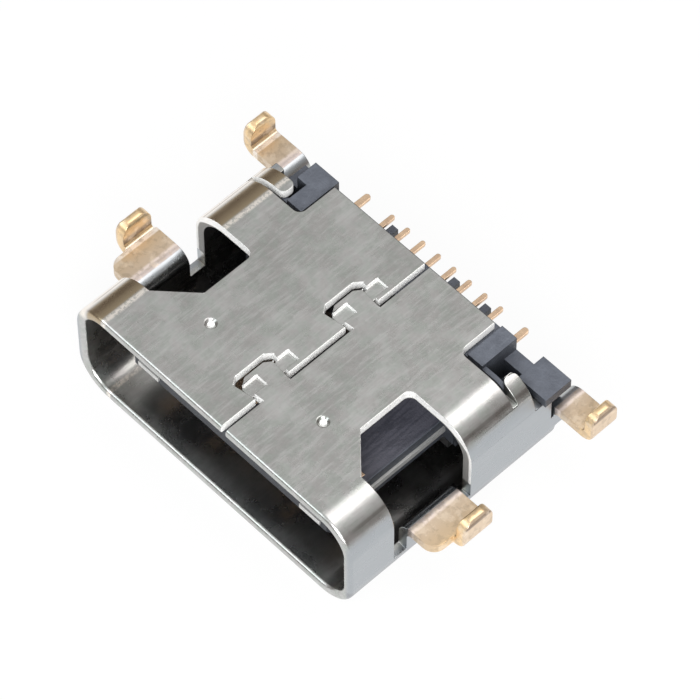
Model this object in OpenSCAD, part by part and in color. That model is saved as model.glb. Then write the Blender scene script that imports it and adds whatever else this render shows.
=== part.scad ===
// Mid-mount reversible socket for a board cut-out, lying on its smooth face with the seam side up.
// The origin is the centre of the plug opening, in the plane of its front rim. X runs across the socket,
// Y from the opening to the solder tails, Z up towards the seam side. All sizes are millimetres.

/* [Contacts] */
// Spacing of neighbouring contact positions on the tongue
pitch = 0.5; // [0.4:0.01:0.65]
// Width of a contact strip on the tongue
contact_w = 0.25; // [0.15:0.01:0.3]
// Sheet thickness of the contacts
contact_t = 0.10; // [0.08:0.01:0.18]
// Width of a signal solder tail
tail_w = 0.13; // [0.1:0.01:0.28]
// Width of the two outer power tails
power_tail_w = 0.17; // [0.13:0.01:0.34]
// Distance the tails reach behind the seam side of the shell
tail_reach = 1.08; // [0.8:0.01:1.6]

/* [Shell] */
// Height of the plug opening
open_h = 2.56; // [2.1:0.01:3.1]
// Corner radius of the plug opening
open_r = 0.70; // [0.5:0.01:1.0]
// Sheet thickness of the shell and its legs
wall_t = 0.27; // [0.2:0.01:0.33]
// Length of the seam side, front to back
shell_len = 6.25; // [5.2:0.01:7.6]
// Radius worn onto both edges of the front rim
rim_r = 0.1; // [0.05:0.01:0.12]
// Free width between the tongue and each side of the opening
side_gap = 0.825; // [0.7:0.005:1.0]

/* [Seam] */
// Offset of the seam line from the middle
seam_x = 0.42; // [0.3:0.01:0.7]
// Width of the gap left in the seam
seam_gap = 0.14; // [0.05:0.01:0.2]
// Length of a locking tab across the seam
lock_w = 0.74; // [0.6:0.01:1.0]
// Width of a locking tab along the seam
lock_len = 0.96; // [0.7:0.01:1.1]
// Depth of the stake pockets punched over the ends of the locking tabs
stake_depth = 0.1; // [0.03:0.01:0.15]

/* [Leg windows] */
// Front edge of each leg window, from the opening
win_y0 = 1.33; // [1.1:0.01:1.6]
// Length of each leg window along the shell
win_len = 2.35; // [2.0:0.01:2.9]
// Reach of each window onto the seam side, from the outer face
win_in = 1.94; // [1.6:0.01:2.3]

/* [Legs] */
// Height of the board plane under the seam side
sink = 1.35; // [1.1:0.01:1.6]
// Outer face of the upturned tips, beyond the shell side
leg_out = 1.19; // [1.0:0.01:1.5]
// Height of the tips above the board plane
tip_h = 0.67; // [0.55:0.01:1.3]
// Width of the upturned front tips
tip_w = 0.87; // [0.6:0.01:1.0]
// Width of a front leg where it leaves the shell
front_leg_w = 1.52; // [1.4:0.01:1.7]
// Width of a rear leg and its tip
rear_leg_w = 0.78; // [0.6:0.01:0.95]

/* [Tongue] */
// Thickness of the tongue
tongue_t = 0.70; // [0.65:0.01:0.8]
// Distance of the tongue tip behind the opening
tongue_y0 = 0.55; // [0.4:0.01:1.2]
// Thickness of the steel plate in the middle of the tongue
plate_t = 0.15; // [0.1:0.01:0.16]

/* [Hidden] */
$fn = 72;
eps = 0.01;
// opening and outer shell
tongue_half = 5.5 * pitch + 0.595;
open_w = 2 * (tongue_half + side_gap);
half_w = open_w / 2 + wall_t;
top_z = open_h / 2 + wall_t;
outer_r = open_r + wall_t;
board_z = top_z - sink;
side_len = shell_len + 0.1;
far = 3;
// leg windows
win_x = half_w - win_in;
win_y1 = win_y0 + win_len;
win_corner = 0.2;
win_slant = 0.84;
relief_z = -0.43 * top_z;
// legs
fold_in = 0.15;
fold_out = fold_in + wall_t;
fold_z = board_z - fold_out;
tip_in = 0.08;
tip_out = tip_in + wall_t;
leg_x = half_w + leg_out;
relief_w = 0.38;
front_leg_y = win_y0 + relief_w;
tip_step = 0.06;
front_tip_y = front_leg_y + front_leg_w - tip_w - tip_step;
rear_leg_y = shell_len + 0.02;
ear_in = 0.34;
ear_r = 0.17;
// rear corners of the seam side
notch_x = 0.577 * half_w;
notch_y = shell_len - 1.1;
notch_r = 0.2;
slit_w = 0.13;
slit_z = top_z - 0.42;
right_hook_x = half_w - 0.72;
left_hook_x = half_w - 1.22;
hook_y1 = notch_y + 0.53;
hook_r = 0.16;
ledge_z = top_z - 0.89;
step_y = shell_len - 0.05;
// dimples
dimple_x = 0.405 * half_w;
dimple_y = 1.72;
dimple_r = 0.2;
dimple_up = 0.1;
bump_r = 0.25;
bump_drop = 0.07;
// seam locks
lock_y = [shell_len - 1.95, 1.56];
lock_flare = 0.05;
lock_ease = 0.13;
stake_w = 0.33;
stake_len = 0.46;
stake_x = seam_x - lock_w / 2 + 0.01;
stake_shift = 0.2;
// inside: layers measured from the middle of the opening
fit = 0.02;
tongue_z0 = -tongue_t / 2;
tongue_z1 = tongue_t / 2;
plate_z0 = -plate_t / 2;
plate_z1 = plate_t / 2;
base_y = shell_len - 0.95;
body_y1 = shell_len + 0.13;
step_up = 0.2;
step_len = 1.0;
collar_t = 0.1;
collar_half = tongue_half - 0.15;
insert_half = 5.5 * pitch + 0.27;
insert_y0 = tongue_y0 + 0.25;
insert_y1 = base_y + 0.55;
latch_in = 0.3;
plate_in = 0.24;
latch_y0 = tongue_y0 + 1.2;
latch_y1 = base_y - step_len - 0.1;
latch_half = tongue_half - latch_in;
plate_half = tongue_half - plate_in;
plate_tab_x = 0.78 * tongue_half;
plate_tab_w = 0.65;
plate_nose = 0.05;
plate_y1 = base_y + 0.3;
plate_tail_half = 5.5 * pitch + 0.15;
// contacts
power_y0 = tongue_y0 + 0.4;
signal_y0 = tongue_y0 + 0.65;
jog_y0 = base_y - 1.1;
jog_y1 = base_y + 0.15;
drop_y = insert_y1 - contact_t;
lap_y = drop_y - contact_t - fit;
lap_y1 = body_y1 - 0.15;
tail_y1 = shell_len + tail_reach;
upper_z = tongue_z1 - contact_t;
lower_z = tongue_z0;
tail_z = board_z - contact_t;
power_tail_x = 5.1 * pitch;
ground_y1 = tongue_y0 + 1.3;
ground_foot = 0.45;
// rear corners of the housing
block_x0 = notch_x + 0.1;
block_x1 = notch_x + 0.56;
block_z = top_z - 0.15;
post_y0 = body_y1 - 0.48;
post_x1 = block_x1 + 0.3;
post_y1 = body_y1 + 0.1;
pocket_z = 0.25;
pocket_wall = 0.12;
bar_y0 = body_y1 - 0.38;
bar_z = board_z + 0.75;
lug_x0 = half_w - 0.77;
lug_over = 0.1;
lug_y0 = bar_y0 - 0.12;
lug_y1 = body_y1 + 0.3;
lug_z0 = -0.2;
rib_y1 = tail_y1 - 0.2;
rib_t = 0.3;
rib_w = 0.19;
rib_x = [-3 * pitch, pitch, 3 * pitch];

// ---------- helpers ----------
module box(x0, x1, y0, y1, z0, z1) {
  translate([x0, y0, z0]) cube([x1 - x0, y1 - y0, z1 - z0]);
}

// a flat shape drawn in X and Z, run along Y
module along_y(y0, y1) {
  translate([0, y1, 0]) rotate([90, 0, 0]) linear_extrude(y1 - y0) children();
}

// a flat shape drawn in X and Y, raised along Z
module raised(z0, z1) {
  translate([0, 0, z0]) linear_extrude(z1 - z0) children();
}

module both_sides() {
  children();
  mirror([1, 0, 0]) children();
}

module round_rect(w, h, r) {
  square([w - 2 * r, h], center = true);
  square([w, h - 2 * r], center = true);
  for (x = [-1, 1], y = [-1, 1]) translate([x * (w / 2 - r), y * (h / 2 - r)]) circle(r);
}

// what the rounded rim takes off a square corner; the metal lies towards +X and +Y
module corner_waste() {
  difference() {
    translate([-eps, -eps]) square(rim_r + eps);
    translate([rim_r, rim_r]) circle(rim_r);
  }
}

// waste along a rounded rectangle in the plane of the opening; side is 1 where the metal is inside
// the rectangle and 0 where it is outside
module rim_waste(w, h, r, side) {
  straight_w = w - 2 * r;
  straight_h = h - 2 * r;
  for (a = [0, 180]) rotate([0, a, 0]) {
    translate([-straight_w / 2, 0, h / 2]) rotate([90, 0, 90])
      linear_extrude(straight_w) mirror([0, side, 0]) corner_waste();
    translate([w / 2, 0, -straight_h / 2]) linear_extrude(straight_h)
      mirror([side, 0, 0]) corner_waste();
  }
  for (mx = [0, 1], mz = [0, 1]) mirror([mx, 0, 0]) mirror([0, 0, mz])
    translate([straight_w / 2, 0, straight_h / 2]) rotate([-90, 0, 0]) rotate([0, 0, -90])
      rotate_extrude(angle = 90) translate([r, 0]) mirror([side, 0, 0]) corner_waste();
}

// ---------- shell ----------
module tube() {
  difference() {
    along_y(0, side_len) round_rect(2 * half_w, 2 * top_z, outer_r);
    along_y(-eps, side_len + eps) round_rect(open_w, open_h, open_r);
    rim_waste(2 * half_w, 2 * top_z, outer_r, 1);
    rim_waste(open_w, open_h, open_r, 0);
  }
}

// plan of a leg window, running out past the shell side
module window_plan() {
  polygon([[win_x, win_y0 + win_slant], [win_x, win_y1 - win_corner],
    [win_x + win_corner, win_y1], [half_w + 1, win_y1], [half_w + 1, win_y0],
    [win_x + win_slant + 0.06, win_y0]]);
  translate([win_x + win_corner, win_y1 - win_corner]) circle(win_corner);
}

module leg_window() {
  raised(fold_z, top_z + 1) window_plan();
  box(half_w - wall_t - 0.1, half_w + 1, win_y0, front_leg_y, relief_z, fold_z + eps);
  box(half_w - wall_t - 0.1, half_w + 1, front_leg_y + front_leg_w, win_y1, relief_z, fold_z + eps);
}

// plan of the cut in the rear corner of the seam side, up to the hook, which ends at hook_x
module notch_plan(hook_x) {
  difference() {
    polygon([[notch_x, notch_y + notch_r], [notch_x + notch_r, notch_y],
      [half_w + 1, notch_y], [half_w + 1, side_len + 1], [notch_x, side_len + 1]]);
    translate([hook_x + hook_r, notch_y + slit_w]) square([far, hook_y1 - notch_y - slit_w]);
    translate([hook_x, notch_y + slit_w + hook_r])
      square([far, hook_y1 - notch_y - slit_w - 2 * hook_r]);
    for (y = [notch_y + slit_w + hook_r, hook_y1 - hook_r])
      translate([hook_x + hook_r, y]) circle(hook_r);
  }
  translate([notch_x + notch_r, notch_y + notch_r]) circle(notch_r);
}

module rear_corner_cut(hook_x) {
  raised(slit_z, top_z + 1) notch_plan(hook_x);
  box(hook_x, half_w + 1, hook_y1, side_len + 1, ledge_z, slit_z + eps);
  box(half_w - outer_r, half_w + 1, step_y, side_len + 1, fold_z, ledge_z + eps);
}

// corners of the seam, front to back, seen from the seam side
function lock_points(y) = [
  [seam_x, y - lock_len / 2 + lock_flare],
  [seam_x - lock_w + lock_ease, y - lock_len / 2 - lock_flare],
  [seam_x - lock_w, y - lock_len / 2 + lock_ease],
  [seam_x - lock_w, y + lock_len / 2 - lock_ease],
  [seam_x - lock_w + lock_ease, y + lock_len / 2 + lock_flare],
  [seam_x, y + lock_len / 2 - lock_flare]];
seam_points = concat([[seam_x, -1]], lock_points(lock_y[1]), lock_points(lock_y[0]),
  [[seam_x, side_len + 1]]);

// one side of a band of half width w around the seam points
function unit(v) = v / norm(v);
function seam_side(p, w) = [for (i = [0 : len(p) - 1])
  let (a = unit(p[min(i + 1, len(p) - 1)] - p[min(i, len(p) - 2)]),
       b = unit(p[max(i, 1)] - p[max(i - 1, 0)]),
       n = unit([-(a[1] + b[1]), a[0] + b[0]]),
       k = 1 / (n * [-a[1], a[0]]))
  p[i] + n * (w * k)];
function turned(v) = [for (i = [len(v) - 1 : -1 : 0]) v[i]];

module seam_band(w) {
  polygon(concat(seam_side(seam_points, w / 2), turned(seam_side(seam_points, -w / 2))));
}

module stake_plan() {
  for (y = lock_y, end = [-1, 1])
    translate([stake_x, y + end * lock_len / 2 + stake_shift])
      square([stake_w, stake_len], center = true);
}

// the metal pressed down under each stake pocket closes the seam there
module seam_cut() {
  difference() {
    raised(0, top_z + 1) seam_band(seam_gap);
    raised(top_z - wall_t - eps, top_z - stake_depth) stake_plan();
  }
}

module stakes() {
  raised(top_z - stake_depth, top_z + 1) stake_plan();
}

module dimples() {
  both_sides() translate([dimple_x, dimple_y, top_z + dimple_up]) sphere(dimple_r);
}

module dimple_backs() {
  both_sides() intersection() {
    translate([dimple_x, dimple_y, top_z - wall_t + bump_r - bump_drop]) sphere(bump_r);
    box(dimple_x - 1, dimple_x + 1, dimple_y - 1, dimple_y + 1, 0, top_z - wall_t / 2);
  }
}

// a leg folded out of the shell side, its tip turned up; tip_y is the front of the tip
module leg(y0, y1, tip_y, tip_len, ear) {
  along_y(y0, y1) translate([half_w + fold_in, fold_z]) intersection() {
    difference() {
      circle(fold_out);
      circle(fold_in);
    }
    translate([-1, 0]) square([1, 1]);
  }
  raised(board_z - wall_t, board_z) {
    if (ear) {
      translate([half_w + fold_in, y0]) square([leg_out - fold_in - ear_in - ear_r, y1 - y0]);
      translate([half_w + fold_in, y0 + ear_r])
        square([leg_out - fold_in - ear_in, tip_y - y0 - ear_r]);
      translate([leg_x - ear_in - ear_r, y0 + ear_r]) circle(ear_r);
      translate([half_w + fold_in, tip_y]) square([leg_out - fold_in - ear_in, y1 - tip_y]);
    }
    translate([half_w + fold_in, tip_y]) square([leg_out - fold_in - tip_out, tip_len]);
  }
  along_y(tip_y, tip_y + tip_len) {
    translate([leg_x - tip_out, board_z - wall_t + tip_out]) intersection() {
      difference() {
        circle(tip_out);
        circle(tip_in);
      }
      translate([0, -1]) square([1, 1]);
    }
    translate([leg_x - wall_t, board_z + tip_in]) square([wall_t, tip_h - tip_in - wall_t / 2]);
    translate([leg_x - wall_t / 2, board_z + tip_h - wall_t / 2]) circle(wall_t / 2);
  }
}

module rear_leg_root() {
  box(half_w - wall_t, half_w, side_len - 0.3, rear_leg_y + rear_leg_w, relief_z, fold_z);
}

module shell() {
  color([0.66, 0.66, 0.64]) {
    difference() {
      union() {
        tube();
        dimple_backs();
      }
      both_sides() leg_window();
      rear_corner_cut(right_hook_x);
      mirror([1, 0, 0]) rear_corner_cut(left_hook_x);
      box(-notch_x - eps, notch_x + eps, shell_len, side_len + 1, 0, top_z + 1);
      seam_cut();
      stakes();
      dimples();
    }
    both_sides() {
      leg(front_leg_y, front_leg_y + front_leg_w, front_tip_y, tip_w, true);
      leg(rear_leg_y, rear_leg_y + rear_leg_w, rear_leg_y, rear_leg_w, false);
      rear_leg_root();
    }
  }
}

// ---------- contacts ----------
// strip with a sideways jog, drawn in plan
module strip_plan(x0, x1, y0, y1, w0, w1) {
  translate([x0 - w0 / 2, y0]) square([w0, jog_y0 - y0]);
  polygon([[x0 - w0 / 2, jog_y0], [x0 + w0 / 2, jog_y0], [x1 + w1 / 2, jog_y1], [x1 - w1 / 2, jog_y1]]);
  translate([x1 - w1 / 2, jog_y1]) square([w1, y1 - jog_y1]);
}

module contact(x0, x1, y0, z, w1) {
  step_z0 = min(z, tail_z);
  step_z1 = max(z, tail_z) + contact_t;
  color([0.80, 0.62, 0.32]) {
    raised(z, z + contact_t) strip_plan(x0, x1, y0, drop_y, contact_w, w1);
    box(x1 - w1 / 2, x1 + w1 / 2, drop_y, drop_y + contact_t, step_z0, step_z1);
    raised(tail_z, tail_z + contact_t) {
      translate([x1 - w1 / 2, drop_y + contact_t])
        square([w1, tail_y1 - w1 / 2 - drop_y - contact_t]);
      translate([x1, tail_y1 - w1 / 2]) circle(w1 / 2);
    }
  }
}

// a ground contact ends on the steel plate, level is +1 above the plate and -1 below it
module ground_contact(x, z, level) {
  foot_z = level > 0 ? plate_z1 : plate_z0 - contact_t;
  color([0.80, 0.62, 0.32]) {
    box(x - contact_w / 2, x + contact_w / 2, power_y0, ground_y1, z, z + contact_t);
    box(x - contact_w / 2, x + contact_w / 2, ground_y1, ground_y1 + contact_t,
      min(z, foot_z), max(z, foot_z) + contact_t);
    box(x - contact_w / 2, x + contact_w / 2, ground_y1 + contact_t,
      ground_y1 + contact_t + ground_foot, foot_z, foot_z + contact_t);
  }
}

// the second power contact ends flat on the tail of the first
module lapped_contact(x0, x1) {
  color([0.80, 0.62, 0.32]) {
    raised(upper_z, upper_z + contact_t)
      strip_plan(x0, x1, power_y0, lap_y, contact_w, power_tail_w);
    box(x1 - power_tail_w / 2, x1 + power_tail_w / 2, lap_y, lap_y + contact_t,
      min(upper_z, board_z), max(upper_z, board_z) + contact_t);
    box(x1 - power_tail_w / 2, x1 + power_tail_w / 2, lap_y + contact_t, lap_y1,
      board_z, board_z + contact_t);
  }
}

function row_x(i) = (6.5 - i) * pitch;

module contact_A1() { ground_contact(row_x(1), lower_z, -1); }
module contact_A4() { contact(row_x(4), power_tail_x, power_y0, lower_z, power_tail_w); }
module contact_A5() { contact(row_x(5), 2.5 * pitch, signal_y0, lower_z, tail_w); }
module contact_A6() { contact(row_x(6), 0.5 * pitch, signal_y0, lower_z, tail_w); }
module contact_A7() { contact(row_x(7), -0.5 * pitch, signal_y0, lower_z, tail_w); }
module contact_A8() { contact(row_x(8), -2.5 * pitch, signal_y0, lower_z, tail_w); }
module contact_A9() { contact(row_x(9), -power_tail_x, power_y0, lower_z, power_tail_w); }
module contact_A12() { ground_contact(row_x(12), lower_z, -1); }
module contact_B1() { ground_contact(-row_x(1), upper_z, 1); }
module contact_B4() { lapped_contact(-row_x(4), -power_tail_x); }
module contact_B5() { contact(-row_x(5), -3.5 * pitch, signal_y0, upper_z, tail_w); }
module contact_B6() { contact(-row_x(6), -1.5 * pitch, signal_y0, upper_z, tail_w); }
module contact_B7() { contact(-row_x(7), 1.5 * pitch, signal_y0, upper_z, tail_w); }
module contact_B8() { contact(-row_x(8), 3.5 * pitch, signal_y0, upper_z, tail_w); }
module contact_B9() { lapped_contact(-row_x(9), power_tail_x); }
module contact_B12() { ground_contact(-row_x(12), upper_z, 1); }

module lower_row() {
  contact_A1();
  contact_A4();
  contact_A5();
  contact_A6();
  contact_A7();
  contact_A8();
  contact_A9();
  contact_A12();
}

module upper_row() {
  contact_B1();
  contact_B4();
  contact_B5();
  contact_B6();
  contact_B7();
  contact_B8();
  contact_B9();
  contact_B12();
}

// ---------- steel plate ----------
module mid_plate() {
  color([0.72, 0.72, 0.72]) raised(plate_z0, plate_z1) {
    polygon([[-plate_half, latch_y0], [-tongue_half, latch_y0 - 0.15],
      [-tongue_half, tongue_y0 + 0.45], [-tongue_half + 0.25, tongue_y0 + 0.12],
      [tongue_half - 0.25, tongue_y0 + 0.12], [tongue_half, tongue_y0 + 0.45],
      [tongue_half, latch_y0 - 0.15], [plate_half, latch_y0], [plate_half, latch_y1],
      [plate_tail_half, latch_y1 + 0.2], [plate_tail_half, plate_y1],
      [-plate_tail_half, plate_y1], [-plate_tail_half, latch_y1 + 0.2], [-plate_half, latch_y1]]);
    for (x = [-1, 1]) translate([x * plate_tab_x - plate_tab_w / 2, tongue_y0 - plate_nose])
      square([plate_tab_w, 0.12 + plate_nose + eps]);
  }
}

// ---------- moulded carriers of the two contact rows ----------
module insert_block(z0, z1, base_z0, base_z1) {
  box(-insert_half, insert_half, insert_y0, insert_y1, z0, z1);
  box(-insert_half, insert_half, base_y - step_len + 0.12, insert_y1, base_z0, base_z1);
}

module upper_insert() {
  color([0.22, 0.22, 0.25]) difference() {
    insert_block(plate_z1, tongue_z1, plate_z1, tongue_z1 + step_up - 0.05);
    lower_row();
    upper_row();
    mid_plate();
  }
}

module lower_insert() {
  color([0.20, 0.20, 0.23]) difference() {
    insert_block(tongue_z0, plate_z0, tongue_z0 - step_up + 0.05, plate_z0);
    lower_row();
    upper_row();
    mid_plate();
  }
}

// ---------- ground collars ----------
// a thin steel cap over the thick root of the tongue, drawn for the upper side
module collar() {
  y0 = base_y - step_len;
  top = tongue_t / 2 + step_up;
  color([0.70, 0.70, 0.70]) {
    box(-collar_half, collar_half, y0 - collar_t, base_y + 0.2, top, top + collar_t);
    box(-collar_half, collar_half, y0 - collar_t, y0, tongue_t / 2 + 0.02, top);
  }
}

module emi_collar_upper() {
  collar();
}

module emi_collar_lower() {
  mirror([0, 0, 1]) collar();
}

// ---------- housing ----------
module tongue_blade() {
  box(-tongue_half, tongue_half, tongue_y0, base_y + eps, tongue_z0, tongue_z1);
  box(-tongue_half, tongue_half, base_y - step_len, base_y + eps,
    tongue_z0 - step_up, tongue_z1 + step_up);
}

// side notches of the tongue that the plug latches drop into, and the eased tip corners
module tongue_sides() {
  both_sides() raised(tongue_z0 - 1, tongue_z1 + 1) {
    polygon([[latch_half, latch_y0], [tongue_half + eps, latch_y0 - 0.15],
      [tongue_half + 1, latch_y0 - 0.15], [tongue_half + 1, latch_y1], [latch_half, latch_y1]]);
    polygon([[tongue_half + 1, tongue_y0 - 1], [tongue_half + 1, tongue_y0 + 0.45],
      [tongue_half, tongue_y0 + 0.45], [tongue_half - 0.25, tongue_y0],
      [tongue_half - 0.25, tongue_y0 - 1]]);
  }
  for (z = [tongue_z0, tongue_z1]) translate([0, tongue_y0, z]) rotate([45, 0, 0])
    cube([2 * tongue_half + 1, 0.2, 0.2], center = true);
}

module housing_body() {
  along_y(base_y, body_y1) round_rect(open_w - 2 * fit, open_h, open_r);
}

// the blocks fill the notches; the right one carries a lug over the shell side, the left one a post
module rear_corners() {
  both_sides() box(block_x0, block_x1, base_y, body_y1, 0, block_z);
  box(lug_x0, half_w + lug_over, lug_y0, lug_y1, ledge_z + fit, bar_z);
  box(lug_x0, open_w / 2 - fit, bar_y0, lug_y1, lug_z0, bar_z);
  mirror([1, 0, 0]) {
    box(block_x0, post_x1, post_y0, post_y1, 0, block_z);
    box(post_x1, lug_x0 + lug_over, post_y0, post_y1, 0, bar_z);
  }
}

module rear_pockets() {
  both_sides() {
    box(block_x1, half_w, base_y + pocket_wall, bar_y0, pocket_z, top_z);
    box(block_x1, half_w, bar_y0 - eps, body_y1 + 1, bar_z, top_z);
  }
  mirror([1, 0, 0])
    box(lug_x0 + lug_over, half_w, bar_y0 - 2 * eps, body_y1 + 1, pocket_z, bar_z + eps);
}

// short teeth between some of the tails
module rear_ribs() {
  z0 = board_z - rib_t;
  for (x = rib_x) box(x - rib_w / 2, x + rib_w / 2, body_y1 - 0.1, rib_y1, z0, board_z - fit);
}

module housing() {
  color([0.27, 0.27, 0.31]) difference() {
    union() {
      difference() {
        union() {
          housing_body();
          tongue_blade();
        }
        tongue_sides();
        rear_pockets();
      }
      rear_corners();
      rear_ribs();
    }
    insert_block(plate_z1 - eps, tongue_z1, plate_z1, tongue_z1 + step_up - 0.05);
    insert_block(tongue_z0, plate_z0 + eps, tongue_z0 - step_up + 0.05, plate_z0);
    mid_plate();
    emi_collar_upper();
    emi_collar_lower();
    lower_row();
    upper_row();
  }
}

shell();
housing();
upper_insert();
lower_insert();
mid_plate();
emi_collar_upper();
emi_collar_lower();
contact_A1();
contact_A4();
contact_A5();
contact_A6();
contact_A7();
contact_A8();
contact_A9();
contact_A12();
contact_B1();
contact_B4();
contact_B5();
contact_B6();
contact_B7();
contact_B8();
contact_B9();
contact_B12();
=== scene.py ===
"""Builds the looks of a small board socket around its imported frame.

Every piece is modelled in millimetres, in the frame's own axes, and brought down to metres when
it is finished: X runs across the socket, Y from the opening to the solder tails, Z up towards the
seam side.
"""

from __future__ import annotations

import logging
import math
from contextlib import contextmanager
from dataclasses import dataclass, field
from enum import Enum
from typing import Callable, Iterator, Sequence

import bmesh
import bpy
from mathutils import Matrix, Vector

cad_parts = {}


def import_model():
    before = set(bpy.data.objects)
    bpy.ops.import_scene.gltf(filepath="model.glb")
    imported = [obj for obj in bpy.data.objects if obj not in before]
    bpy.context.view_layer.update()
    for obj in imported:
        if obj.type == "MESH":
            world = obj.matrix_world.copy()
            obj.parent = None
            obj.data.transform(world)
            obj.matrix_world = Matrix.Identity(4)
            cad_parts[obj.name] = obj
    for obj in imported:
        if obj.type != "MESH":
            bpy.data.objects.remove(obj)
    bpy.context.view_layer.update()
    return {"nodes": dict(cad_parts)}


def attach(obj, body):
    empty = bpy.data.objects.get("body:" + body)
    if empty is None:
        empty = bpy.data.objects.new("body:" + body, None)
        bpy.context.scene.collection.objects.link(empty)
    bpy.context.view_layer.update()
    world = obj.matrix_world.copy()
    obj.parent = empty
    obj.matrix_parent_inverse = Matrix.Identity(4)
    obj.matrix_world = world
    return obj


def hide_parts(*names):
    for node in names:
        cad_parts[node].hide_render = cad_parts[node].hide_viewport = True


LOG = logging.getLogger("socket")
BODY = "root"
# One millimetre in metres
MM = 0.001
# Two places closer than this, in millimetres, are the same place
NEAR = 0.004
# How far a face may lie from where it is looked for, and how far cuts overlap, in millimetres
CLOSE = 0.01
# How far a cutting block reaches past what it cuts, in millimetres
PAST = 1.0
# Cosines of the angles below which a normal counts as flat and an edge as parallel
FLAT = 0.9
PARALLEL = 0.999
# Edges that turn more than this are eased, and faces that turn less are shaded as one
SHARP_ANGLE = math.radians(34)
SMOOTH_ANGLE = math.radians(40)

Colour = tuple[float, float, float]
Outline = list[tuple[float, float]]
Span = tuple[float, float]
Stops = Sequence[tuple[float, Colour]]
Triple = tuple[float, float, float]
EdgeTest = Callable[[bmesh.types.BMEdge], bool]
FaceTest = Callable[[bmesh.types.BMFace], bool]


# ---------------------------------------------------------------- options
class Side(Enum):
    """Which side of the socket, as the sign of X."""

    LEFT = -1
    RIGHT = 1


class Pick(Enum):
    """What an edit-mode step selects."""

    EDGES = "EDGE"
    FACES = "FACE"


class Join(Enum):
    """What a second solid does to the first."""

    CUT = "DIFFERENCE"
    ADD = "UNION"


class Slot(Enum):
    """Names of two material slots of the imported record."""

    SHELL = "plated_shell"
    CONTACT = "gold_plated_contact"


# ---------------------------------------------------------------- modelling bench
def focus(piece: bpy.types.Object) -> None:
    """Leaves only one piece selected and active.

    Args:
        piece: the piece to work on.
    """
    bpy.ops.object.select_all(action="DESELECT")
    piece.select_set(True)
    bpy.context.view_layer.objects.active = piece


@contextmanager
def editing(piece: bpy.types.Object, kind: Pick) -> Iterator[None]:
    """Opens a piece in edit mode with nothing selected, and closes it again.

    Args:
        piece: the piece to edit.
        kind: whether the steps inside select edges or faces.

    Returns:
        A context in which the piece is in edit mode.
    """
    focus(piece)
    bpy.ops.object.mode_set(mode="EDIT")
    bpy.ops.mesh.select_mode(type=kind.value)
    bpy.ops.mesh.select_all(action="DESELECT")
    yield
    bpy.ops.object.mode_set(mode="OBJECT")


def pick(piece: bpy.types.Object, kind: Pick, test: EdgeTest | FaceTest) -> int:
    """Selects the edges or faces that pass a test, and nothing else.

    Args:
        piece: the piece in edit mode.
        kind: whether edges or faces are looked at.
        test: says whether one is wanted.

    Returns:
        How many were selected.
    """
    bpy.ops.mesh.select_all(action="DESELECT")
    mesh = bmesh.from_edit_mesh(piece.data)
    mesh.normal_update()
    parts = mesh.faces if kind is Pick.FACES else mesh.edges
    wanted = [part for part in parts if test(part)]
    for part in wanted:
        part.select_set(True)
    bmesh.update_edit_mesh(piece.data)
    return len(wanted)


def runs_along(edge: bmesh.types.BMEdge, axis: int) -> bool:
    """Says whether an edge is parallel to an axis, 0 for X, 1 for Y and 2 for Z."""
    step = edge.verts[1].co - edge.verts[0].co
    return abs(step[axis]) > PARALLEL * step.length


def middle(edge: bmesh.types.BMEdge) -> Vector:
    """The middle point of an edge."""
    return (edge.verts[0].co + edge.verts[1].co) / 2


def between_ends(first: float, second: float) -> Span:
    """The lower and the higher of two numbers, in that order."""
    return (min(first, second), max(first, second))


def upright_at(x: float, y: float | None = None) -> EdgeTest:
    """Makes a test for the upright edges at a distance from the socket's middle.

    Args:
        x: the distance, the same on the left and on the right.
        y: how far behind the opening, where that matters.

    Returns:
        The test.
    """

    def test(edge: bmesh.types.BMEdge) -> bool:
        """Says whether an edge is one of them.

        Args:
            edge: the edge.

        Returns:
            True if it is.
        """
        at = middle(edge)
        here = abs(abs(at.x) - x) < NEAR and (y is None or abs(at.y - y) < NEAR)
        return here and runs_along(edge, 2)

    return test


def block(name: str, x: Span, y: Span, z: Span) -> bpy.types.Object:
    """Adds a box between two corners.

    Args:
        name: the name of the new object.
        x: lowest and highest X.
        y: lowest and highest Y.
        z: lowest and highest Z.

    Returns:
        The box, with its place in its mesh.
    """
    bpy.ops.object.select_all(action="DESELECT")
    centre = [(low + high) / 2 for low, high in (x, y, z)]
    bpy.ops.mesh.primitive_cube_add(size=1, location=centre)
    piece = bpy.context.object
    piece.name = piece.data.name = name
    piece.scale = [abs(high - low) for low, high in (x, y, z)]
    bpy.ops.object.transform_apply(location=True, rotation=True, scale=True)
    return piece


def round_edges(piece: bpy.types.Object, radius: float, steps: int, test: EdgeTest) -> None:
    """Rounds the edges of a piece that pass a test.

    Args:
        piece: the piece.
        radius: radius of the rounding.
        steps: how many faces make a quarter turn.
        test: says whether an edge is wanted.
    """
    with editing(piece, Pick.EDGES):
        if pick(piece, Pick.EDGES, test):
            bpy.ops.mesh.bevel(offset=radius, segments=steps, profile=0.5, affect="EDGES")


def round_tube(name: str, half: Span, y: Span, radius: float, steps: int) -> bpy.types.Object:
    """Adds a bar of rounded rectangular section along Y.

    Args:
        name: the name of the new object.
        half: half its width and half its height.
        y: its two ends.
        radius: corner radius of the section.
        steps: how many faces make each corner.

    Returns:
        The bar.
    """
    bar = block(name, (-half[0], half[0]), y, (-half[1], half[1]))
    round_edges(bar, radius, steps, lambda edge: runs_along(edge, 1))
    return bar


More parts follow.
